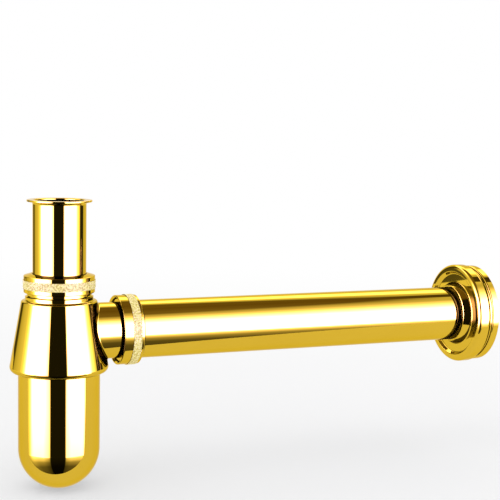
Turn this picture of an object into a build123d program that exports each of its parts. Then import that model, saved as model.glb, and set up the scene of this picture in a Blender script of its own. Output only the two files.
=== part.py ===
# Bottle trap of a wash basin: a telescopic inlet tube, a body with a screw-off cup,
# and an outlet tube that ends in a sliding cover at the wall.
# Millimetres. The origin is where the axis of the inlet meets the axis of the outlet.
# +Z goes up along the inlet, and +X goes along the outlet to the wall.
import os

from build123d import *

# Clearances between pieces that move on each other
running_gap = 0.3
thread_gap = 0.3
lip_gap = 0.15
flange_gap = 0.2

# Rounding of small rubber and nylon rings
ring_round = 0.2

# Inlet tube, which also dips into the cup
inlet_od = 32.0
inlet_wall = 1.2
inlet_top = 80.4
dip_depth = 64.0
inlet_flange_width = 3.45
inlet_flange_thickness = 1.2
inlet_flange_root = 1.6
inlet_mouth_round = 0.8
flange_edge_round = 0.4

# Outlet tube, flanged at the body
outlet_od = 36.0
outlet_wall = 1.2
outlet_flange_width = 1.2
outlet_flange_thickness = 1.2
outlet_flange_round = 0.25
wall_distance = 293.0
tube_end_setback = 1.0

# Cup
cup_od = 49.2
cup_wall = 1.6
cup_bottom_depth = 95.2
cup_washer_thickness = 1.6

# Spigot of the body, towards the wall
spigot_end = 41.7
spigot_wall = 3.5
spigot_root = 1.0
spigot_thread_height = 2.1
spigot_thread_length = 5.1
thread_chamfer = 0.5

# Body: neck, collar, conical shell, socket for the cup
gland_width = 2.2
gland_depth = 4.0
neck_wall = 1.1
neck_length = 8.8
collar_step = 1.1
collar_height = 2.6
collar_cove = 0.9
collar_round = 0.25
shoulder_land = 2.3
shoulder_rise = 2.7
shoulder_round = 1.2
skirt_width = 5.6
skirt_round = 3.0
socket_depth = 8.3
seat_width = 2.8
seat_floor = 1.2
chamber_wall = 2.4
chamber_roof_drop = 9.0
chamber_roof_height = 6.0

# Rings of the two joints
seal_height = 4.6
inlet_ring_thickness = 1.2
outlet_washer_thickness = 1.8
outlet_ring_thickness = 0.9

# Nuts
nut_wall = 1.7
nut_band_rise = 0.35
nut_band_width = 5.2
nut_band_round = 0.12
nut_web = 3.0
nut_crown = 1.2
nut_crown_land = 0.8
nut_edge_round = 0.5
nut_mouth_bevel = 0.8
inlet_nut_length = 11.3
inlet_nut_band_inset = 2.4
outlet_nut_length = 13.6
outlet_nut_band_inset = 1.6

# Cover at the wall
cover_od = 66.6
cover_depth = 16.4
cover_shell = 1.2
cover_bead_width = 4.6
cover_bead_round = 2.6
cover_bead_flank = 2.4
cover_dish_slope = 1.5
cover_dish_round = 0.5
cover_ring_inset = 0.9
cover_ring_height = 5.0
cover_ring_width = 2.4
cover_ring_round = 0.9
cover_groove_depth = 1.0
cover_groove_width = 1.0
cover_floor_height = 14.2
cover_floor_round = 0.8
cover_collar_wall = 0.9
cover_collar_flare = 2.2
cover_collar_height = 19.8
cover_collar_round = 0.4
o_ring_section = 1.3
o_ring_height = 15.5

# Radii that follow from the sizes above
inlet_r = inlet_od / 2
inlet_bore_r = inlet_r - inlet_wall
gland_r = inlet_r + gland_width
neck_r = gland_r + neck_wall
collar_r = neck_r + collar_step
shoulder_r = collar_r + shoulder_land
cup_r = cup_od / 2
skirt_r = cup_r + skirt_width
outlet_r = outlet_od / 2
outlet_bore_r = outlet_r - outlet_wall
outlet_flange_r = outlet_r + outlet_flange_width
spigot_thread_r = outlet_flange_r + flange_gap
spigot_r = spigot_thread_r - spigot_thread_height
spigot_bore_r = spigot_r - spigot_wall

# Heights that follow, counted from the outlet's axis
shoulder_height = spigot_r + shoulder_rise
collar_top = shoulder_height + collar_height
neck_top = collar_top + neck_length
gland_floor = neck_top - gland_depth
seal_top = gland_floor + seal_height
inlet_web_face = seal_top + inlet_ring_thickness
inlet_nut_start = inlet_web_face + nut_web - inlet_nut_length
chamber_top = shoulder_height - chamber_roof_drop
cup_seat = -spigot_bore_r - seat_floor
cup_rim = cup_seat - cup_washer_thickness
skirt_bottom = cup_seat - socket_depth
bowl_centre = cup_r - cup_bottom_depth

# Stations that follow, counted from the inlet's axis
spigot_thread_start = spigot_end - spigot_thread_length
outlet_start = spigot_end + outlet_washer_thickness
outlet_flange_back = outlet_start + outlet_flange_thickness
outlet_web_face = outlet_flange_back + outlet_ring_thickness
outlet_nut_start = outlet_web_face + nut_web - outlet_nut_length
outlet_end = wall_distance - tube_end_setback


def outline(axis, corners):
    """Closed outline of a piece turned about X or Z, from (radius, station, rounding) corners."""
    if axis.is_parallel(Axis.X):
        points = [(station, radius) for radius, station, rounding in corners]
    else:
        points = [(radius, station) for radius, station, rounding in corners]
    FilletPolyline(*points, radius=[rounding for radius, station, rounding in corners], close=True)


def make_ring(axis, inner_r, outer_r, start, thickness):
    """Flat rubber or nylon ring with softened edges."""
    end = start + thickness
    with BuildPart() as ring:
        with BuildSketch(Plane.XZ):
            with BuildLine():
                outline(axis, [
                    (inner_r, start, ring_round),
                    (outer_r, start, ring_round),
                    (outer_r, end, ring_round),
                    (inner_r, end, ring_round),
                ])
            make_face()
        revolve(axis=axis)
    return ring


def make_nut(axis, start, length, thread_r, bore_r, band_inset):
    """Round union nut: open mouth at its start, crowned web at its end, raised grip band between."""
    end = start + length
    crown_edge = end - nut_crown
    band_end = crown_edge - band_inset
    band_start = band_end - nut_band_width
    flank_r = thread_r + nut_wall
    band_r = flank_r + nut_band_rise
    with BuildPart() as nut:
        with BuildSketch(Plane.XZ):
            with BuildLine():
                outline(axis, [
                    (thread_r, start + nut_mouth_bevel, 0),
                    (thread_r + nut_mouth_bevel, start, 0),
                    (flank_r, start, nut_edge_round),
                    (flank_r, band_start, 0),
                    (band_r, band_start, nut_band_round),
                    (band_r, band_end, nut_band_round),
                    (flank_r, band_end, 0),
                    (flank_r, crown_edge, nut_edge_round),
                    (bore_r + nut_crown_land, end, 0),
                    (bore_r, end, 0),
                    (bore_r, end - nut_web, 0),
                    (thread_r, end - nut_web, 0),
                ])
            make_face()
        revolve(axis=axis)
    return nut


# Inlet tube: straight tube with a flared lip on top
inlet_flange_r = inlet_r + inlet_flange_width
inlet_flange_under = inlet_top - inlet_flange_thickness
with BuildPart() as inlet_tube:
    with BuildSketch(Plane.XZ):
        with BuildLine():
            outline(Axis.Z, [
                (inlet_bore_r, -dip_depth, 0),
                (inlet_r, -dip_depth, 0),
                (inlet_r, inlet_flange_under, inlet_flange_root),
                (inlet_flange_r, inlet_flange_under, flange_edge_round),
                (inlet_flange_r, inlet_top, flange_edge_round),
                (inlet_bore_r, inlet_top, inlet_mouth_round),
            ])
        make_face()
    revolve(axis=Axis.Z)

# Body: turned outside with a spigot to the wall, then the water way cut out of it
with BuildPart() as body:
    with BuildSketch(Plane.XZ):
        with BuildLine():
            outline(Axis.Z, [
                (0, skirt_bottom, 0),
                (skirt_r, skirt_bottom, skirt_round),
                (shoulder_r, shoulder_height, shoulder_round),
                (collar_r, shoulder_height, collar_cove),
                (collar_r, collar_top, collar_round),
                (neck_r, collar_top, collar_cove),
                (neck_r, neck_top, thread_chamfer),
                (0, neck_top, 0),
            ])
        make_face()
    revolve(axis=Axis.Z)
    with BuildSketch(Plane.XZ):
        with BuildLine():
            outline(Axis.X, [
                (0, 0, 0),
                (spigot_r, 0, 0),
                (spigot_r, spigot_thread_start, 0),
                (spigot_thread_r, spigot_thread_start, thread_chamfer),
                (spigot_thread_r, spigot_end, thread_chamfer),
                (0, spigot_end, 0),
            ])
        make_face()
    revolve(axis=Axis.X)
    fillet(body.edges().filter_by(GeomType.BSPLINE), spigot_root)
    with BuildSketch(Plane.XZ):
        with BuildLine():
            outline(Axis.Z, [
                (0, skirt_bottom, 0),
                (cup_r + thread_gap, skirt_bottom, 0),
                (cup_r + thread_gap, cup_seat, 0),
                (cup_r - seat_width, cup_seat, 0),
                (shoulder_r - chamber_wall, chamber_top, 0),
                (inlet_r + running_gap, chamber_top + chamber_roof_height, 0),
                (inlet_r + running_gap, gland_floor, 0),
                (gland_r, gland_floor, 0),
                (gland_r, neck_top, 0),
                (0, neck_top, 0),
            ])
        make_face()
    revolve(axis=Axis.Z, mode=Mode.SUBTRACT)
    with BuildSketch(Plane.XZ):
        with BuildLine():
            outline(Axis.X, [
                (0, 0, 0),
                (spigot_bore_r, 0, 0),
                (spigot_bore_r, spigot_end, 0),
                (0, spigot_end, 0),
            ])
        make_face()
    revolve(axis=Axis.X, mode=Mode.SUBTRACT)

# Inlet joint: rubber seal in the gland, nylon ring on it, nut over both
inlet_seal = make_ring(Axis.Z, inlet_r + lip_gap, gland_r, gland_floor, seal_height)
inlet_slip_ring = make_ring(Axis.Z, inlet_r + running_gap, neck_r, seal_top, inlet_ring_thickness)
inlet_nut = make_nut(
    Axis.Z,
    inlet_nut_start,
    inlet_nut_length,
    neck_r + thread_gap,
    inlet_r + running_gap,
    inlet_nut_band_inset,
)

# Cup: straight wall, round bottom
cup_inner_r = cup_r - cup_wall
with BuildPart() as cup:
    with BuildSketch(Plane.XZ):
        with BuildLine():
            Polyline((cup_inner_r, bowl_centre), (cup_inner_r, cup_rim), (cup_r, cup_rim), (cup_r, bowl_centre))
            outside = CenterArc((0, bowl_centre), cup_r, 0, -90)
            inside = CenterArc((0, bowl_centre), cup_inner_r, 0, -90)
            Line(outside @ 1, inside @ 1)
        make_face()
    revolve(axis=Axis.Z)

cup_washer = make_ring(Axis.Z, cup_r - seat_width, cup_r, cup_rim, cup_washer_thickness)

# Outlet tube: flanged at the body, plain at the wall
with BuildPart() as outlet_tube:
    with BuildSketch(Plane.XZ):
        with BuildLine():
            outline(Axis.X, [
                (outlet_bore_r, outlet_start, 0),
                (outlet_flange_r, outlet_start, outlet_flange_round),
                (outlet_flange_r, outlet_flange_back, outlet_flange_round),
                (outlet_r, outlet_flange_back, outlet_flange_round),
                (outlet_r, outlet_end, 0),
                (outlet_bore_r, outlet_end, 0),
            ])
        make_face()
    revolve(axis=Axis.X)

# Outlet joint: flat washer at the spigot's end, nylon ring behind the tube's flange, nut over both
outlet_washer = make_ring(
    Axis.X, outlet_bore_r, outlet_flange_r, spigot_end, outlet_washer_thickness
)
outlet_slip_ring = make_ring(
    Axis.X, outlet_r + running_gap, outlet_flange_r, outlet_flange_back, outlet_ring_thickness
)
outlet_nut = make_nut(
    Axis.X,
    outlet_nut_start,
    outlet_nut_length,
    spigot_thread_r + thread_gap,
    outlet_r + running_gap,
    outlet_nut_band_inset,
)

# Cover at the wall: thick back ring, groove, round bead, shallow dish, flared collar round the tube
cover_r = cover_od / 2
cover_dish_r = cover_r - cover_bead_width
cover_ring_r = cover_r - cover_ring_inset
cover_groove_r = cover_ring_r - cover_groove_depth
cover_hollow_r = cover_ring_r - cover_ring_width
cover_collar_bore_r = outlet_r + running_gap
cover_collar_r = cover_collar_bore_r + cover_collar_wall
cover_collar_foot_r = cover_collar_r + cover_collar_flare
cover_floor_r = cover_dish_r - cover_dish_slope
groove_start = wall_distance - cover_ring_height
groove_end = groove_start - cover_groove_width
cover_front = wall_distance - cover_depth
cover_floor = wall_distance - cover_floor_height
collar_front = wall_distance - cover_collar_height
hollow_floor = cover_floor + cover_shell
o_ring_station = wall_distance - o_ring_height
o_ring_centre_r = outlet_r + lip_gap + o_ring_section / 2
with BuildPart() as wall_cover:
    with BuildSketch(Plane.XZ):
        with BuildLine():
            outline(Axis.X, [
                (cover_hollow_r, wall_distance, 0),
                (cover_ring_r, wall_distance, flange_edge_round),
                (cover_ring_r, groove_start, cover_ring_round),
                (cover_groove_r, groove_start, 0),
                (cover_groove_r, groove_end, 0),
                (cover_r, groove_end - cover_bead_flank, cover_bead_flank),
                (cover_r, cover_front, cover_bead_round),
                (cover_dish_r, cover_front, cover_dish_round),
                (cover_floor_r, cover_floor, cover_floor_round),
                (cover_collar_foot_r, cover_floor, cover_floor_round),
                (cover_collar_r, collar_front, cover_collar_round),
                (cover_collar_bore_r, collar_front, 0),
                (cover_collar_bore_r, hollow_floor, 0),
                (cover_hollow_r, hollow_floor, cover_ring_round),
            ])
        make_face()
    revolve(axis=Axis.X)
    with BuildSketch(Plane.XZ):
        with Locations((o_ring_station, o_ring_centre_r)):
            Circle(o_ring_section / 2)
    revolve(axis=Axis.X, mode=Mode.SUBTRACT)

with BuildPart() as wall_cover_o_ring:
    with BuildSketch(Plane.XZ):
        with Locations((o_ring_station, o_ring_centre_r)):
            Circle(o_ring_section / 2)
    revolve(axis=Axis.X)

nodes = {
    "inlet_tube": inlet_tube,
    "body": body,
    "inlet_seal": inlet_seal,
    "inlet_slip_ring": inlet_slip_ring,
    "inlet_nut": inlet_nut,
    "cup": cup,
    "cup_washer": cup_washer,
    "outlet_tube": outlet_tube,
    "outlet_washer": outlet_washer,
    "outlet_slip_ring": outlet_slip_ring,
    "outlet_nut": outlet_nut,
    "wall_cover": wall_cover,
    "wall_cover_o_ring": wall_cover_o_ring,
}
os.makedirs("parts", exist_ok=True)
for name, piece in nodes.items():
    piece.part.label = name
    export_step(piece.part, f"parts/{name}.step")
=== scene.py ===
import math

import bpy
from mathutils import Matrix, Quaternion, Vector


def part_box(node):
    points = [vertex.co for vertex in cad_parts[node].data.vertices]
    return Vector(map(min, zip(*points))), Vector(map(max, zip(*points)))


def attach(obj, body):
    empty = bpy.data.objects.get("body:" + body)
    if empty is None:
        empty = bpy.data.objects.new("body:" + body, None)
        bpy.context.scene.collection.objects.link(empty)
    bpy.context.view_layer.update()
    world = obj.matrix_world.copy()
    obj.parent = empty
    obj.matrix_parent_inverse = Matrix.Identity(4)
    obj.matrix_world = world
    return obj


bl_info = {
    "name": "Basin trap dresser",
    "version": (1, 0, 0),
    "blender": (4, 5, 0),
    "location": "View3D > Sidebar > Basin trap",
    "description": "Finishes a polished gold bottle trap and sets up its studio",
    "category": "Object",
}

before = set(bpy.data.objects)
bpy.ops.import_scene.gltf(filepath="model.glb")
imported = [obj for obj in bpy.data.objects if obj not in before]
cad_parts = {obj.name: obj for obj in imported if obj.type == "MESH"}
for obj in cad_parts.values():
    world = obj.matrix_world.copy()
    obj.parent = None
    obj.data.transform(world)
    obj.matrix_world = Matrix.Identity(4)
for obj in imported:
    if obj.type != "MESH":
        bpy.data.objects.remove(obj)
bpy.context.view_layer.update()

POLISHED_NODES = ("inlet_tube", "body", "cup", "outlet_tube", "wall_cover")
RUBBER_NODES = ("inlet_seal", "cup_washer", "outlet_washer", "wall_cover_o_ring")
NYLON_NODES = ("inlet_slip_ring", "outlet_slip_ring")

# Patterns per metre on the gold, and how far its polish swings
TONE_SCALE = 45.0
POLISH_SCALE = 90.0
STIPPLE_SCALE = 1000.0
POLISH_SWING = 0.012
# Grip bands: grain at which a hollow's painted shade ends and a crest begins, swing of roughness,
# share that isn't metal, gloss, and strength and depth of the bump
STIPPLE_HOLLOW = 0.38
STIPPLE_CREST = 0.56
STIPPLE_SWING = 0.25
BAND_PALENESS = 0.95
BAND_GLOSS = 0.1
STIPPLE_STRENGTH = 0.6
STIPPLE_DEPTH = 0.0002
# Rubber and nylon: tones per metre, swing of roughness, and strength and depth of the bump
SOFT_TONE_SCALE = 220.0
SOFT_SWING = 0.25
SOFT_STRENGTH = 0.3
SOFT_DEPTH = 0.0001
# Brightness of each one's second tone, its roughness and its grains per metre
RUBBER_TONE = 2.2
RUBBER_ROUGHNESS = 0.6
RUBBER_GRAIN = 3000.0
NYLON_TONE = 0.9
NYLON_ROUGHNESS = 0.45
NYLON_GRAIN = 1500.0
# Threads: distance within which points merge, and the sharpest edge that is shaded smooth
MERGE_DISTANCE = 0.000001
SMOOTH_ANGLE = math.radians(30)


class TrapFinish(bpy.types.PropertyGroup):
    """Colours and finish of the trap's own surfaces, with painted shade, a painted reflection and painted
    bounce light among them.
    """

    gold: bpy.props.FloatVectorProperty(
        name="Gold",
        description="Reflected colour of the polished gold plating",
        subtype="COLOR",
        size=3,
        min=0.0,
        max=1.0,
        default=(0.86, 0.56, 0.046),
    )
    deep_gold: bpy.props.FloatVectorProperty(
        name="Deep gold",
        description="Colour of the plating where it lies a little thicker",
        subtype="COLOR",
        size=3,
        min=0.0,
        max=1.0,
        default=(0.82, 0.52, 0.038),
    )
    edge_gold: bpy.props.FloatVectorProperty(
        name="Grazing tint",
        description="Tint of the plating's reflection at a grazing angle",
        subtype="COLOR",
        size=3,
        min=0.0,
        max=1.0,
        default=(0.92, 0.80, 0.45),
    )
    # Painted reflection: a dark grey that stands in for the gold wherever other polished surfaces mirror it
    painted_dark_reflection: bpy.props.FloatVectorProperty(
        name="Mirrored gold",
        description="Colour of the plating as other polished surfaces see it",
        subtype="COLOR",
        size=3,
        min=0.0,
        max=1.0,
        default=(0.08, 0.073, 0.06),
    )
    # Painted bounce light: a pale grey that stands in for the gold where matt surfaces take light from it,
    # so the floor by the cup is lit paler
    painted_bounce_light: bpy.props.FloatVectorProperty(
        name="Bounce",
        description="Colour of the plating as matt surfaces see it",
        subtype="COLOR",
        size=3,
        min=0.0,
        max=1.0,
        default=(0.9, 0.9, 0.9),
    )
    polish: bpy.props.FloatProperty(
        name="Polish roughness",
        description="Roughness of the mirror-polished surfaces",
        subtype="FACTOR",
        min=0.0,
        max=1.0,
        default=0.02,
    )
    band: bpy.props.FloatVectorProperty(
        name="Grip band",
        description="Colour of the blasted grip bands on the nuts",
        subtype="COLOR",
        size=3,
        min=0.0,
        max=1.0,
        default=(1.0, 0.88, 0.37),
    )
    # Painted shade: the darker colour that the grip bands take in the hollows of their stipple
    band_painted_shade: bpy.props.FloatVectorProperty(
        name="Grip band hollows",
        description="Colour of the small hollows in the grip bands",
        subtype="COLOR",
        size=3,
        min=0.0,
        max=1.0,
        default=(0.66, 0.50, 0.13),
    )
    inlet_band: bpy.props.FloatVectorProperty(
        name="Inlet nut's band",
        description="Where the grip band of the inlet nut starts and ends along Z",
        unit="LENGTH",
        size=2,
        default=(0.0274, 0.0326),
    )
    outlet_band: bpy.props.FloatVectorProperty(
        name="Outlet nut's band",
        description="Where the grip band of the outlet nut starts and ends along X",
        unit="LENGTH",
        size=2,
        default=(0.0406, 0.0458),
    )
    band_edge: bpy.props.FloatProperty(
        name="Grip band edge",
        description="Width over which a grip band fades into the polish",
        unit="LENGTH",
        default=0.00015,
    )
    band_roughness: bpy.props.FloatProperty(
        name="Grip band roughness",
        description="Roughness of the blasted grip bands on the nuts",
        subtype="FACTOR",
        min=0.0,
        max=1.0,
        default=0.5,
    )
    rubber: bpy.props.FloatVectorProperty(
        name="Rubber",
        description="Colour of the seals and washers",
        subtype="COLOR",
        size=3,
        min=0.0,
        max=1.0,
        default=(0.018, 0.018, 0.02),
    )
    nylon: bpy.props.FloatVectorProperty(
        name="Nylon",
        description="Colour of the slip rings",
        subtype="COLOR",
        size=3,
        min=0.0,
        max=1.0,
        default=(0.78, 0.76, 0.70),
    )


class TrapThreads(bpy.types.PropertyGroup):
    """Sizes of the screw threads."""

    pitch: bpy.props.FloatProperty(
        name="Pitch",
        description="Advance of each thread in one turn",
        unit="LENGTH",
        default=0.0015,
    )
    height: bpy.props.FloatProperty(
        name="Height",
        description="How far a thread's crest stands out of its core",
        unit="LENGTH",
        default=0.0002,
    )
    width: bpy.props.FloatProperty(
        name="Width",
        description="Width of a thread's root as a share of its pitch",
        subtype="FACTOR",
        min=0.0,
        max=1.0,
        default=0.6,
    )
    crest: bpy.props.FloatProperty(
        name="Crest",
        description="Width of a thread's crest as a share of its root",
        subtype="FACTOR",
        min=0.0,
        max=1.0,
        default=0.35,
    )
    root: bpy.props.FloatProperty(
        name="Root",
        description="How far a thread's root lies inside its core",
        unit="LENGTH",
        default=0.00005,
    )
    neck_radius: bpy.props.FloatProperty(
        name="Neck radius",
        description="Radius of the body's neck under its thread",
        unit="LENGTH",
        default=0.0193,
    )
    neck_start: bpy.props.FloatProperty(
        name="Neck start",
        description="Height at which the neck's thread starts",
        unit="LENGTH",
        default=0.0245,
    )
    neck_turns: bpy.props.IntProperty(
        name="Neck turns",
        description="Turns of the neck's thread",
        min=1,
        default=4,
    )
    spigot_radius: bpy.props.FloatProperty(
        name="Spigot radius",
        description="Radius of the body's spigot under its thread",
        unit="LENGTH",
        default=0.0194,
    )
    spigot_start: bpy.props.FloatProperty(
        name="Spigot start",
        description="Place along X at which the spigot's thread starts",
        unit="LENGTH",
        default=0.0374,
    )
    spigot_turns: bpy.props.IntProperty(
        name="Spigot turns",
        description="Turns of the spigot's thread",
        min=1,
        default=2,
    )
    cup_radius: bpy.props.FloatProperty(
        name="Cup radius",
        description="Radius of the cup under its thread",
        unit="LENGTH",
        default=0.0246,
    )
    cup_start: bpy.props.FloatProperty(
        name="Cup start",
        description="Height at which the cup's thread starts",
        unit="LENGTH",
        default=-0.0221,
    )
    cup_turns: bpy.props.IntProperty(
        name="Cup turns",
        description="Turns of the cup's thread",
        min=1,
        default=3,
    )
    steps: bpy.props.IntProperty(
        name="Steps",
        description="Divisions of one turn of a thread",
        min=16,
        default=96,
    )


class TrapStudio(bpy.types.PropertyGroup):
    """Camera, table and reflected studio."""

    camera_place: bpy.props.FloatVectorProperty(
        name="Camera place",
        description="Where the camera stands",
        subtype="TRANSLATION",
        unit="LENGTH",
        size=3,
        default=(-0.17024, -0.70112, 0.12785),
    )
    camera_azimuth: bpy.props.FloatProperty(
        name="Camera azimuth",
        description="Turn of the view to the right of +Y",
        subtype="ANGLE",
        default=math.radians(22.75),
    )
    camera_elevation: bpy.props.FloatProperty(
        name="Camera elevation",
        description="How far the view looks down",
        subtype="ANGLE",
        default=math.radians(6.05),
    )
    camera_roll: bpy.props.FloatProperty(
        name="Camera roll",
        description="Turn of the camera about its own axis",
        subtype="ANGLE",
        default=math.radians(1.085),
    )
    lens: bpy.props.FloatProperty(
        name="Lens",
        description="Focal length on a 36 mm sensor, in millimetres",
        default=86.11,
    )
    table_edge: bpy.props.FloatProperty(
        name="Table edge",
        description="How far the white table reaches in front of the inlet's axis",
        unit="LENGTH",
        default=0.028,
    )
    table_colour: bpy.props.FloatVectorProperty(
        name="Table",
        description="Colour of the table top",
        subtype="COLOR",
        size=3,
        min=0.0,
        max=1.0,
        default=(0.9, 0.9, 0.905),
    )
    table_size: bpy.props.FloatVectorProperty(
        name="Table size",
        description="Width and depth of the table that polished surfaces see",
        unit="LENGTH",
        size=2,
        default=(1.6, 0.66),
    )
    floor_size: bpy.props.FloatProperty(
        name="Floor size",
        description="Width and depth of the floor that the camera sees",
        unit="LENGTH",
        default=12.0,
    )
    fade: bpy.props.FloatVectorProperty(
        name="Fade",
        description="Distances from the origin at which the floor starts to fade and is white",
        unit="LENGTH",
        size=2,
        default=(0.1, 1.2),
    )
    lamp_place: bpy.props.FloatVectorProperty(
        name="Lamp place",
        description="Where the soft lamp hangs, facing the trap",
        subtype="TRANSLATION",
        unit="LENGTH",
        size=3,
        default=(-0.3, -0.5, 1.5),
    )
    lamp_size: bpy.props.FloatProperty(
        name="Lamp size",
        description="Diameter of the soft lamp",
        unit="LENGTH",
        default=1.2,
    )
    lamp_power: bpy.props.FloatProperty(
        name="Lamp power",
        description="Power of the soft lamp",
        unit="POWER",
        default=1.5,
    )
    softbox: bpy.props.FloatProperty(
        name="Softbox",
        description="Brightness of the two front softboxes in reflections, where the white sheet is 1",
        min=0.0,
        default=15.0,
    )
    back_box: bpy.props.FloatProperty(
        name="Back softbox",
        description="Brightness of the softbox behind and above in reflections, where the white sheet is 1",
        min=0.0,
        default=2.5,
    )
    ceiling: bpy.props.FloatVectorProperty(
        name="Ceiling",
        description="Colour of the dim ceiling in reflections",
        subtype="COLOR",
        size=3,
        min=0.0,
        max=1.0,
        default=(0.15, 0.105, 0.05),
    )
    full_colour: bpy.props.FloatProperty(
        name="Full colour",
        description="Brightness at which a softbox has its whole colour; its dimmer edges are whiter",
        min=0.1,
        default=4.0,
    )
    dim_colour: bpy.props.FloatVectorProperty(
        name="Softbox edge",
        description="Colour of the softboxes where they are dimmest",
        subtype="COLOR",
        size=3,
        min=0.0,
        soft_max=3.0,
        default=(1.0, 0.94, 1.05),
    )
    box_colour: bpy.props.FloatVectorProperty(
        name="Softbox colour",
        description="Cool colour of the softboxes, whose reflections in gold run to white",
        subtype="COLOR",
        size=3,
        min=0.0,
        soft_max=3.0,
        default=(0.8, 0.62, 2.8),
    )


# Brightness round the trap in degrees from the camera, positive to its right: (angle, share of a softbox)
AZIMUTH_BOXES = (
    (-180, 0.0), (-102, 0.0), (-92, 0.06), (-87, 0.22), (-81, 0.75), (-75, 1.0),
    (-45, 1.0), (-27, 0.4), (-24, 0.0), (18, 0.0), (20.5, 0.6), (34, 1.0),
    (68, 1.0), (77, 0.5), (83, 0.17), (95, 0.02), (99, 0.0), (180, 0.0),
)
# Brightness of the front softboxes by height in degrees above the horizon: (angle, share)
HEIGHT_BOXES = (
    (-90, 0.0), (-41, 0.006), (-29, 0.025), (-21, 0.09), (-18, 0.18), (-14, 0.72), (-9, 0.85), (6, 1.0),
    (20, 1.0), (29, 0.58), (36, 0.3), (44, 0.13), (52, 0.05), (62, 0.004), (90, 0.0),
)
# White sheet round the trap with a dark flag at each side of the back: (angle from the camera, brightness)
AZIMUTH_SHEET = (
    (-180, 0.95), (-152, 0.9), (-149, 0.07), (-134, 0.07), (-129, 0.6), (-100, 1.0),
    (-92, 0.9), (-60, 0.25), (-26, 0.08), (-24, 0.012), (18, 0.012), (22, 0.08),
    (70, 0.2), (93, 0.85), (96, 0.85), (98, 0.03), (120, 0.03), (123, 0.7), (180, 0.95),
)
HEIGHT_SHEET = (
    (-90, 0.1), (-40, 0.3), (-15, 1.0), (56, 1.0), (61, 0.02), (90, 0.02),
)
# Dim ceiling overhead
HEIGHT_CEILING = (
    (-90, 0.0), (54, 0.0), (63, 1.0), (90, 1.0),
)
# Softbox behind and above the trap
AZIMUTH_BACK = (
    (-180, 1.0), (-115, 1.0), (-100, 0.0), (100, 0.0), (115, 1.0), (180, 1.0),
)
HEIGHT_BACK = (
    (-90, 0.0), (33, 0.0), (37, 1.0), (48, 1.0), (53, 0.0), (90, 0.0),
)


def deselect_all():
    """Start each step with nothing selected."""
    bpy.ops.object.select_all(action="DESELECT")


def new_material(name):
    """Node material with a Principled shader, and the shader itself."""
    material = bpy.data.materials.new(name)
    material.use_nodes = True
    shader = material.node_tree.nodes["Principled BSDF"]
    return material, shader


def dress(node_name, material):
    """Give a CAD node one material all over."""
    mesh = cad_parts[node_name].data
    mesh.materials.clear()
    mesh.materials.append(material)


def add_math(tree, operation, first, second=None, third=None):
    """Math node whose inputs are sockets or plain numbers; returns its output."""
    node = tree.nodes.new("ShaderNodeMath")
    node.operation = operation
    for socket, value in zip(node.inputs, (first, second, third)):
        if value is None:
            continue
        if isinstance(value, (int, float)):
            socket.default_value = value
        else:
            tree.links.new(value, socket)
    return node.outputs["Value"]


def add_mix(tree, factor, first, second):
    """Colour mix of two colours, each a socket or three numbers; returns its output."""
    node = tree.nodes.new("ShaderNodeMix")
    node.data_type = "RGBA"
    tree.links.new(factor, node.inputs["Factor"])
    for socket, value in ((node.inputs[6], first), (node.inputs[7], second)):
        if isinstance(value, bpy.types.NodeSocket):
            tree.links.new(value, socket)
        else:
            socket.default_value = (*value, 1.0)
    return node.outputs[2]


def add_noise(tree, vector, scale, detail):
    """Noise texture whose scale per metre is a socket; returns its grey output."""
    node = tree.nodes.new("ShaderNodeTexNoise")
    node.inputs["Detail"].default_value = detail
    tree.links.new(scale, node.inputs["Scale"])
    tree.links.new(vector, node.inputs["Vector"])
    return node.outputs["Fac"]


def add_bump(tree, shader, height, strength, depth):
    """Bump on a shader's normal, from a socket for the height."""
    bump = tree.nodes.new("ShaderNodeBump")
    bump.inputs["Strength"].default_value = strength
    bump.inputs["Distance"].default_value = depth
    tree.links.new(height, bump.inputs["Height"])
    tree.links.new(bump.outputs["Normal"], shader.inputs["Normal"])


def surface_marks():
    """Group that all finishes share, on Object coordinates: change of tone, uneven polish and fine grain."""
    group = bpy.data.node_groups.get("surface_marks")
    if group:
        return group
    group = bpy.data.node_groups.new("surface_marks", "ShaderNodeTree")
    for name in ("Tone Scale", "Grain Scale", "Roughness", "Unevenness"):
        group.interface.new_socket(name, in_out="INPUT", socket_type="NodeSocketFloat")
    for name in ("Tone", "Roughness", "Grain"):
        group.interface.new_socket(name, in_out="OUTPUT", socket_type="NodeSocketFloat")
    entry = group.nodes.new("NodeGroupInput")
    leave = group.nodes.new("NodeGroupOutput")
    place = group.nodes.new("ShaderNodeTexCoord").outputs["Object"]
    tone = add_noise(group, place, entry.outputs["Tone Scale"], detail=2.0)
    grain = add_noise(group, place, entry.outputs["Grain Scale"], detail=3.0)
    swing = add_math(group, "MULTIPLY", add_math(group, "SUBTRACT", grain, 0.5), entry.outputs["Unevenness"])
    uneven = add_math(group, "ADD", entry.outputs["Roughness"], swing)
    group.links.new(tone, leave.inputs["Tone"])
    group.links.new(uneven, leave.inputs["Roughness"])
    group.links.new(grain, leave.inputs["Grain"])
    return group


def add_marks(material, tone_scale, grain_scale, roughness, unevenness):
    """Place the shared group in a material with its own values."""
    node = material.node_tree.nodes.new("ShaderNodeGroup")
    node.node_tree = surface_marks()
    node.inputs["Tone Scale"].default_value = tone_scale
    node.inputs["Grain Scale"].default_value = grain_scale
    node.inputs["Roughness"].default_value = roughness
    node.inputs["Unevenness"].default_value = unevenness
    return node


def plated_colour(material, finish, marks):
    """Gold that deepens slowly over the surface, with a painted dark reflection where other polished
    surfaces mirror it and painted pale bounce light towards matt ones.
    """
    tree = material.node_tree
    gold = add_mix(tree, marks.outputs["Tone"], finish.gold, finish.deep_gold)
    # Painted reflection and painted bounce light: other polished surfaces see a dark grey, matt ones a pale
    # grey, in place of the gold
    path = tree.nodes.new("ShaderNodeLightPath")
    gold_with_painted_bounce = add_mix(tree, path.outputs["Is Diffuse Ray"], gold, finish.painted_bounce_light)
    return add_mix(tree, path.outputs["Is Glossy Ray"], gold_with_painted_bounce, finish.painted_dark_reflection)


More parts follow.
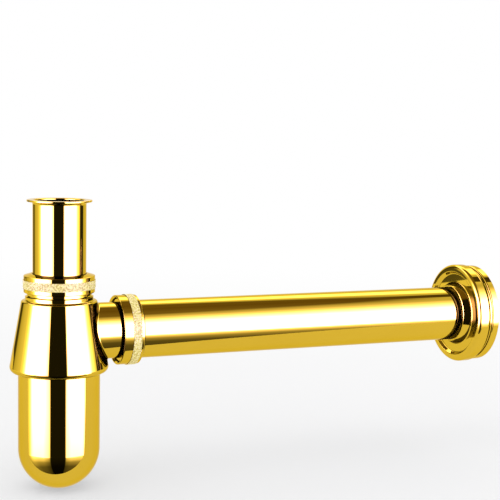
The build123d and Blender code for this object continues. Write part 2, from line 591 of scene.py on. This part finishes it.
def gold_material(finish):
    """Mirror-polished gold plating."""
    material, shader = new_material("polished_gold")
    links = material.node_tree.links
    marks = add_marks(material, TONE_SCALE, POLISH_SCALE, finish.polish, POLISH_SWING)
    links.new(plated_colour(material, finish, marks), shader.inputs["Base Color"])
    links.new(marks.outputs["Roughness"], shader.inputs["Roughness"])
    shader.inputs["Metallic"].default_value = 1.0
    shader.inputs["Specular Tint"].default_value = (*finish.edge_gold, 1.0)
    return material


def nut_material(finish, name, axis, band):
    """Polished gold nut with a blasted, stippled band between two stations along its axis; the band's
    hollows are painted darker as shade.
    """
    material, shader = new_material(name)
    tree = material.node_tree
    marks = add_marks(material, TONE_SCALE, STIPPLE_SCALE, finish.polish, POLISH_SWING)
    split = tree.nodes.new("ShaderNodeSeparateXYZ")
    tree.links.new(tree.nodes.new("ShaderNodeTexCoord").outputs["Object"], split.inputs["Vector"])
    middle = (band[0] + band[1]) / 2
    half_width = (band[1] - band[0]) / 2
    offset = add_math(tree, "ABSOLUTE", add_math(tree, "SUBTRACT", split.outputs[axis], middle))
    edge = tree.nodes.new("ShaderNodeMapRange")
    edge.interpolation_type = "SMOOTHSTEP"
    edge.inputs["From Min"].default_value = half_width
    edge.inputs["From Max"].default_value = half_width - finish.band_edge
    tree.links.new(offset, edge.inputs["Value"])
    mask = edge.outputs["Result"]

    gold = plated_colour(material, finish, marks)
    # Painted shade: the band's colour darkens towards the hollows of the same grain that makes the bump
    stipple = tree.nodes.new("ShaderNodeMapRange")
    stipple.inputs["From Min"].default_value = STIPPLE_HOLLOW
    stipple.inputs["From Max"].default_value = STIPPLE_CREST
    tree.links.new(marks.outputs["Grain"], stipple.inputs["Value"])
    band_with_painted_shade = add_mix(tree, stipple.outputs["Result"], finish.band_painted_shade, finish.band)
    tree.links.new(add_mix(tree, mask, gold, band_with_painted_shade), shader.inputs["Base Color"])
    smoothest = finish.band_roughness - STIPPLE_SWING / 2
    blasted = add_math(tree, "MULTIPLY_ADD", marks.outputs["Grain"], STIPPLE_SWING, smoothest)
    roughness = tree.nodes.new("ShaderNodeMix")
    tree.links.new(mask, roughness.inputs["Factor"])
    tree.links.new(marks.outputs["Roughness"], roughness.inputs[2])
    tree.links.new(blasted, roughness.inputs[3])
    tree.links.new(roughness.outputs[0], shader.inputs["Roughness"])
    metal = add_math(tree, "SUBTRACT", 1.0, add_math(tree, "MULTIPLY", mask, BAND_PALENESS))
    tree.links.new(metal, shader.inputs["Metallic"])
    height = add_math(tree, "MULTIPLY", mask, marks.outputs["Grain"])
    add_bump(tree, shader, height, STIPPLE_STRENGTH, STIPPLE_DEPTH)
    shader.inputs["Specular IOR Level"].default_value = BAND_GLOSS
    shader.inputs["Specular Tint"].default_value = (*finish.edge_gold, 1.0)
    return material


def soft_material(name, colour, second_tone, roughness, grain_scale):
    """Moulded rubber or nylon of two tones with a fine grain."""
    material, shader = new_material(name)
    tree = material.node_tree
    marks = add_marks(material, SOFT_TONE_SCALE, grain_scale, roughness, SOFT_SWING)
    second_colour = [second_tone * value for value in colour]
    tree.links.new(add_mix(tree, marks.outputs["Tone"], colour, second_colour), shader.inputs["Base Color"])
    tree.links.new(marks.outputs["Roughness"], shader.inputs["Roughness"])
    add_bump(tree, shader, marks.outputs["Grain"], SOFT_STRENGTH, SOFT_DEPTH)
    return material


class TRAP_OT_polish_metal(bpy.types.Operator):
    """Finish the tubes, the body, the cup and the cover in polished gold"""

    bl_idname = "trap.polish_metal"
    bl_label = "Polish the metal"

    def execute(self, context):
        gold = gold_material(context.scene.trap_finish)
        for name in POLISHED_NODES:
            dress(name, gold)
        return {"FINISHED"}


class TRAP_OT_finish_nuts(bpy.types.Operator):
    """Finish the two union nuts with a blasted grip band"""

    bl_idname = "trap.finish_nuts"
    bl_label = "Finish the nuts"

    def execute(self, context):
        finish = context.scene.trap_finish
        dress("inlet_nut", nut_material(finish, "inlet_nut_gold", "Z", finish.inlet_band))
        dress("outlet_nut", nut_material(finish, "outlet_nut_gold", "X", finish.outlet_band))
        return {"FINISHED"}


class TRAP_OT_finish_seals(bpy.types.Operator):
    """Finish the rubber seals and washers"""

    bl_idname = "trap.finish_seals"
    bl_label = "Finish the seals"

    def execute(self, context):
        rubber = context.scene.trap_finish.rubber
        material = soft_material("seal_rubber", rubber, RUBBER_TONE, RUBBER_ROUGHNESS, RUBBER_GRAIN)
        for name in RUBBER_NODES:
            dress(name, material)
        return {"FINISHED"}


class TRAP_OT_finish_slip_rings(bpy.types.Operator):
    """Finish the nylon slip rings"""

    bl_idname = "trap.finish_slip_rings"
    bl_label = "Finish the slip rings"

    def execute(self, context):
        nylon = context.scene.trap_finish.nylon
        material = soft_material("slip_ring_nylon", nylon, NYLON_TONE, NYLON_ROUGHNESS, NYLON_GRAIN)
        for name in NYLON_NODES:
            dress(name, material)
        return {"FINISHED"}


def cut_thread(threads, name, radius, start, turns):
    """Helical ridge round Z with its root just inside the core, closed at both ends."""
    deselect_all()
    width = threads.width * threads.pitch
    depth = threads.height + threads.root
    bpy.ops.mesh.primitive_plane_add(
        size=1.0,
        location=(radius - threads.root + depth / 2, 0, start),
        rotation=(math.pi / 2, 0, 0),
    )
    ridge = bpy.context.object
    ridge.name = name
    ridge.data.name = name
    ridge.scale = (depth, width, 1.0)
    bpy.ops.object.transform_apply(location=True, rotation=True, scale=True)
    bpy.ops.object.mode_set(mode="EDIT")
    bpy.ops.mesh.select_all(action="DESELECT")
    bpy.ops.object.mode_set(mode="OBJECT")
    for vertex in ridge.data.vertices:
        vertex.select = vertex.co.x > radius
    bpy.ops.object.mode_set(mode="EDIT")
    bpy.ops.transform.resize(value=(1.0, 1.0, threads.crest))
    bpy.ops.mesh.select_all(action="SELECT")
    bpy.ops.mesh.delete(type="ONLY_FACE")
    bpy.ops.object.mode_set(mode="OBJECT")
    turn = ridge.modifiers.new("turns", "SCREW")
    turn.axis = "Z"
    turn.angle = 2 * math.pi
    turn.screw_offset = threads.pitch
    turn.iterations = turns
    turn.steps = threads.steps
    turn.render_steps = threads.steps
    bpy.ops.object.modifier_apply(modifier=turn.name)
    bpy.ops.object.mode_set(mode="EDIT")
    bpy.ops.mesh.select_all(action="SELECT")
    bpy.ops.mesh.remove_doubles(threshold=MERGE_DISTANCE)
    bpy.ops.mesh.select_all(action="SELECT")
    bpy.ops.mesh.fill_holes(sides=4)
    bpy.ops.mesh.select_all(action="SELECT")
    bpy.ops.mesh.normals_make_consistent(inside=False)
    bpy.ops.object.mode_set(mode="OBJECT")
    bpy.ops.object.shade_smooth_by_angle(angle=SMOOTH_ANGLE)
    return ridge


class TRAP_OT_cut_threads(bpy.types.Operator):
    """Cut the screw threads on the neck, the spigot and the cup"""

    bl_idname = "trap.cut_threads"
    bl_label = "Cut the threads"

    def execute(self, context):
        threads = context.scene.trap_threads
        gold = bpy.data.materials["polished_gold"]
        neck = cut_thread(
            threads, "neck_thread", threads.neck_radius, threads.neck_start, threads.neck_turns
        )
        spigot = cut_thread(
            threads, "spigot_thread", threads.spigot_radius, threads.spigot_start, threads.spigot_turns
        )
        cup = cut_thread(
            threads, "cup_thread", threads.cup_radius, threads.cup_start, threads.cup_turns
        )
        deselect_all()
        spigot.select_set(True)
        context.view_layer.objects.active = spigot
        spigot.rotation_euler = (0, math.pi / 2, 0)
        bpy.ops.object.transform_apply(location=True, rotation=True, scale=True)
        for piece, body in ((neck, "trap"), (spigot, "trap"), (cup, "bottle")):
            piece.data.materials.append(gold)
            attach(piece, body)
        return {"FINISHED"}


class TRAP_OT_studio(bpy.types.Operator):
    """Set up the table, the light and the camera"""

    bl_idname = "trap.studio"
    bl_label = "Set up the studio"

    def execute(self, context):
        studio = context.scene.trap_studio
        add_table(studio)
        add_world(studio)
        add_lamp(studio)
        add_camera(studio)
        context.scene.view_settings.view_transform = "Standard"
        return {"FINISHED"}


def add_table(studio):
    """White floor for the camera and, with a front edge, the white table that polished surfaces see instead.

    Both stay under the cup, so that a lowered body doesn't sink into them.
    """
    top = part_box("cup")[0].z
    material = table_material(studio)
    toward_camera = Vector((-math.sin(studio.camera_azimuth), -math.cos(studio.camera_azimuth), 0))
    place = toward_camera * (studio.table_edge - studio.table_size[1] / 2)
    for name, size, centre in (
        ("table", studio.table_size, (place.x, place.y, top)),
        ("floor", (studio.floor_size, studio.floor_size), (0, 0, top)),
    ):
        deselect_all()
        bpy.ops.mesh.primitive_plane_add(size=1.0, location=centre, rotation=(0, 0, -studio.camera_azimuth))
        plane = bpy.context.object
        plane.name = name
        plane.scale = (*size, 1.0)
        bpy.ops.object.transform_apply(location=True, rotation=True, scale=True)
        plane.data.materials.append(material)
        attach(plane, "bottle")
        mirrored_only = name == "table"
        plane.visible_glossy = mirrored_only
        plane.visible_camera = not mirrored_only
        plane.visible_diffuse = not mirrored_only
        plane.visible_shadow = not mirrored_only


def table_material(studio):
    """Pale matt table whose far reaches fade into the white background."""
    material, shader = new_material("white_table")
    shader.inputs["Base Color"].default_value = (*studio.table_colour, 1.0)
    shader.inputs["Roughness"].default_value = 1.0
    shader.inputs["Specular IOR Level"].default_value = 0.0
    tree = material.node_tree
    distance = tree.nodes.new("ShaderNodeVectorMath")
    distance.operation = "LENGTH"
    tree.links.new(tree.nodes.new("ShaderNodeNewGeometry").outputs["Position"], distance.inputs[0])
    fade = tree.nodes.new("ShaderNodeMapRange")
    fade.interpolation_type = "SMOOTHSTEP"
    fade.inputs["From Min"].default_value = studio.fade[0]
    fade.inputs["From Max"].default_value = studio.fade[1]
    tree.links.new(distance.outputs["Value"], fade.inputs["Value"])
    white = tree.nodes.new("ShaderNodeEmission")
    white.inputs["Color"].default_value = (1.0, 1.0, 1.0, 1.0)
    blend = tree.nodes.new("ShaderNodeMixShader")
    tree.links.new(fade.outputs["Result"], blend.inputs["Fac"])
    tree.links.new(shader.outputs["BSDF"], blend.inputs[1])
    tree.links.new(white.outputs["Emission"], blend.inputs[2])
    tree.links.new(blend.outputs["Shader"], tree.nodes["Material Output"].inputs["Surface"])
    return material


def add_ramp(tree, angle, stops):
    """Grey colour ramp over an angle, from (angle, brightness) stops; returns its output."""
    node = tree.nodes.new("ShaderNodeValToRGB")
    elements = node.color_ramp.elements
    low = stops[0][0]
    high = stops[-1][0]
    for place, brightness in stops[1:-1]:
        element = elements.new((place - low) / (high - low))
        element.color = (brightness, brightness, brightness, 1.0)
    elements[0].color = (stops[0][1],) * 3 + (1.0,)
    elements[-1].color = (stops[-1][1],) * 3 + (1.0,)
    tree.links.new(angle, node.inputs["Fac"])
    return node.outputs["Color"]


def add_background(tree, colour, strength):
    """Background whose colour and strength are sockets or plain values; returns its output."""
    node = tree.nodes.new("ShaderNodeBackground")
    if isinstance(colour, bpy.types.NodeSocket):
        tree.links.new(colour, node.inputs["Color"])
    else:
        node.inputs["Color"].default_value = (*colour, 1.0)
    if isinstance(strength, bpy.types.NodeSocket):
        tree.links.new(strength, node.inputs["Strength"])
    else:
        node.inputs["Strength"].default_value = strength
    return node.outputs["Background"]


def add_world(studio):
    """White surroundings, in which polished surfaces see a studio instead.

    It has softboxes, a white sheet with dark flags, a dim ceiling and a dark gap at the camera.
    """
    world = bpy.data.worlds.new("studio")
    bpy.context.scene.world = world
    world.use_nodes = True
    tree = world.node_tree
    tree.nodes.clear()
    direction = tree.nodes.new("ShaderNodeTexCoord").outputs["Generated"]
    turn = tree.nodes.new("ShaderNodeMapping")
    facing = math.atan2(-studio.camera_place[0], -studio.camera_place[1])
    turn.inputs["Rotation"].default_value = (0, 0, facing + math.pi / 2)
    tree.links.new(direction, turn.inputs["Vector"])
    around = tree.nodes.new("ShaderNodeTexGradient")
    around.gradient_type = "RADIAL"
    tree.links.new(turn.outputs["Vector"], around.inputs["Vector"])
    azimuth = around.outputs["Fac"]
    split = tree.nodes.new("ShaderNodeSeparateXYZ")
    tree.links.new(direction, split.inputs["Vector"])
    level = tree.nodes.new("ShaderNodeMapRange")
    level.inputs["From Min"].default_value = -math.pi / 2
    level.inputs["From Max"].default_value = math.pi / 2
    tree.links.new(add_math(tree, "ARCSINE", split.outputs["Z"]), level.inputs["Value"])
    height = level.outputs["Result"]

    def patch(round_stops, height_stops):
        """Brightness of one part of the studio, by azimuth and height."""
        across = add_ramp(tree, azimuth, round_stops)
        up = add_ramp(tree, height, height_stops)
        return add_math(tree, "MULTIPLY", across, up)

    front = add_math(tree, "MULTIPLY", patch(AZIMUTH_BOXES, HEIGHT_BOXES), studio.softbox)
    back = add_math(tree, "MULTIPLY", patch(AZIMUTH_BACK, HEIGHT_BACK), studio.back_box)
    bright = add_math(tree, "ADD", front, back)
    glow = add_math(tree, "DIVIDE", bright, studio.full_colour)
    boxes = add_background(tree, add_mix(tree, glow, studio.dim_colour, studio.box_colour), bright)
    sheet = add_background(tree, (1.0, 1.0, 1.0), patch(AZIMUTH_SHEET, HEIGHT_SHEET))
    ceiling = add_background(tree, studio.ceiling, add_ramp(tree, height, HEIGHT_CEILING))
    mirrored = boxes
    for part in (sheet, ceiling):
        both = tree.nodes.new("ShaderNodeAddShader")
        tree.links.new(mirrored, both.inputs[0])
        tree.links.new(part, both.inputs[1])
        mirrored = both.outputs["Shader"]
    choose = tree.nodes.new("ShaderNodeMixShader")
    path = tree.nodes.new("ShaderNodeLightPath")
    # A matt surface doesn't see the studio by way of a polished one
    direct = add_math(tree, "LESS_THAN", path.outputs["Diffuse Depth"], 0.5)
    tree.links.new(add_math(tree, "MULTIPLY", path.outputs["Is Glossy Ray"], direct), choose.inputs["Fac"])
    tree.links.new(add_background(tree, (1.0, 1.0, 1.0), 1.0), choose.inputs[1])
    tree.links.new(mirrored, choose.inputs[2])
    output = tree.nodes.new("ShaderNodeOutputWorld")
    tree.links.new(choose.outputs["Shader"], output.inputs["Surface"])


def add_lamp(studio):
    """One large soft lamp for the shadow on the table; it doesn't show in reflections."""
    deselect_all()
    bpy.ops.object.light_add(type="AREA", location=studio.lamp_place)
    lamp = bpy.context.object
    lamp.name = "key_softbox"
    lamp.data.shape = "DISK"
    lamp.data.size = studio.lamp_size
    lamp.data.energy = studio.lamp_power
    lamp.visible_glossy = False
    lamp.rotation_mode = "QUATERNION"
    lamp.rotation_quaternion = (-lamp.location).to_track_quat("-Z", "Y")


def add_camera(studio):
    """Camera at the photograph's viewing angle."""
    deselect_all()
    forward = Vector((
        math.sin(studio.camera_azimuth) * math.cos(studio.camera_elevation),
        math.cos(studio.camera_azimuth) * math.cos(studio.camera_elevation),
        -math.sin(studio.camera_elevation),
    ))
    bpy.ops.object.camera_add(location=studio.camera_place)
    camera = bpy.context.object
    camera.name = "photo_camera"
    camera.rotation_mode = "QUATERNION"
    camera.rotation_quaternion = forward.to_track_quat("-Z", "Y") @ Quaternion((0, 0, 1), studio.camera_roll)
    camera.data.lens = studio.lens
    camera.data.sensor_width = 36.0
    camera.data.clip_start = 0.01
    camera.data.clip_end = 50.0
    bpy.context.scene.camera = camera


class TRAP_PT_panel(bpy.types.Panel):
    """Lists the steps that dress the trap, with their sizes and colours"""

    bl_idname = "TRAP_PT_panel"
    bl_label = "Basin trap"
    bl_space_type = "VIEW_3D"
    bl_region_type = "UI"
    bl_category = "Basin trap"

    def draw(self, context):
        layout = self.layout
        for group in (context.scene.trap_finish, context.scene.trap_threads, context.scene.trap_studio):
            box = layout.box()
            for name in group.__annotations__:
                box.prop(group, name)
        for operator in OPERATORS:
            layout.operator(operator.bl_idname)


OPERATORS = (
    TRAP_OT_polish_metal,
    TRAP_OT_finish_nuts,
    TRAP_OT_finish_seals,
    TRAP_OT_finish_slip_rings,
    TRAP_OT_cut_threads,
    TRAP_OT_studio,
)
CLASSES = (TrapFinish, TrapThreads, TrapStudio) + OPERATORS + (TRAP_PT_panel,)


def register():
    for cls in CLASSES:
        bpy.utils.register_class(cls)
    bpy.types.Scene.trap_finish = bpy.props.PointerProperty(type=TrapFinish)
    bpy.types.Scene.trap_threads = bpy.props.PointerProperty(type=TrapThreads)
    bpy.types.Scene.trap_studio = bpy.props.PointerProperty(type=TrapStudio)


def unregister():
    del bpy.types.Scene.trap_studio
    del bpy.types.Scene.trap_threads
    del bpy.types.Scene.trap_finish
    for cls in reversed(CLASSES):
        bpy.utils.unregister_class(cls)


def main():
    register()
    bpy.ops.trap.polish_metal()
    bpy.ops.trap.finish_nuts()
    bpy.ops.trap.finish_seals()
    bpy.ops.trap.finish_slip_rings()
    bpy.ops.trap.cut_threads()
    bpy.ops.trap.studio()


if __name__ == "__main__":
    main()
